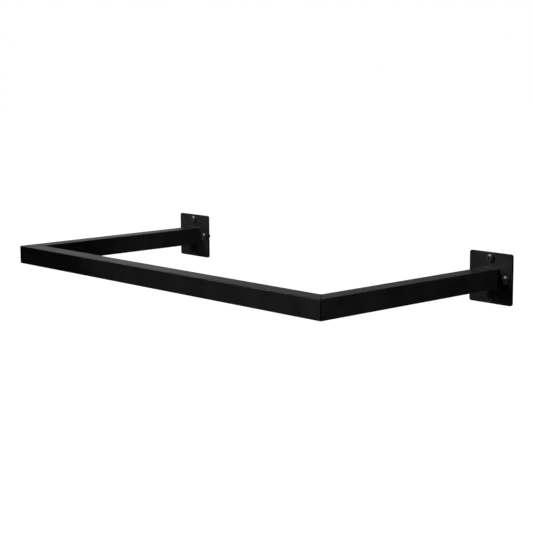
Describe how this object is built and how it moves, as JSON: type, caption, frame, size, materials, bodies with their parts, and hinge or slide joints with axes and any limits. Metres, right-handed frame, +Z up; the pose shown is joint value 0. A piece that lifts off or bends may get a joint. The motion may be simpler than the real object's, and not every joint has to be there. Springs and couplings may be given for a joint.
{
  "type": "wall-mounted pull-up bar",
  "caption": "Flat U of black square steel tube with mitred front corners, welded to screwed wall plates, for pull-ups.",
  "frame": {"origin": "on the wall's surface, midway between the two wall plates and level with the tubes' axes", "axes": "+X along the bar to the right as seen from the room, +Y into the wall, +Z up"},
  "size_m": [1.048, 0.5107, 0.104],
  "materials": {
    "powder_coat": "satin black powder coat with a very fine texture, on steel",
    "coated_weld": "weld metal under the same satin black powder coat",
    "screw_black": "black coated steel screw, slightly glossier than the tubes"
  },
  "bodies": {
    "root": {"front_bar": "powder_coat", "left_arm": "powder_coat", "left_mitre_weld": "coated_weld", "left_wall_plate": "powder_coat", "left_plate_weld": "coated_weld", "left_top_screw": "screw_black", "left_bottom_screw": "screw_black", "left_outer_screw": "screw_black", "left_inner_screw": "screw_black", "right_arm": "powder_coat", "right_mitre_weld": "coated_weld", "right_wall_plate": "powder_coat", "right_plate_weld": "coated_weld", "right_top_screw": "screw_black", "right_bottom_screw": "screw_black", "right_outer_screw": "screw_black", "right_inner_screw": "screw_black"}
  },
  "joints": []
}
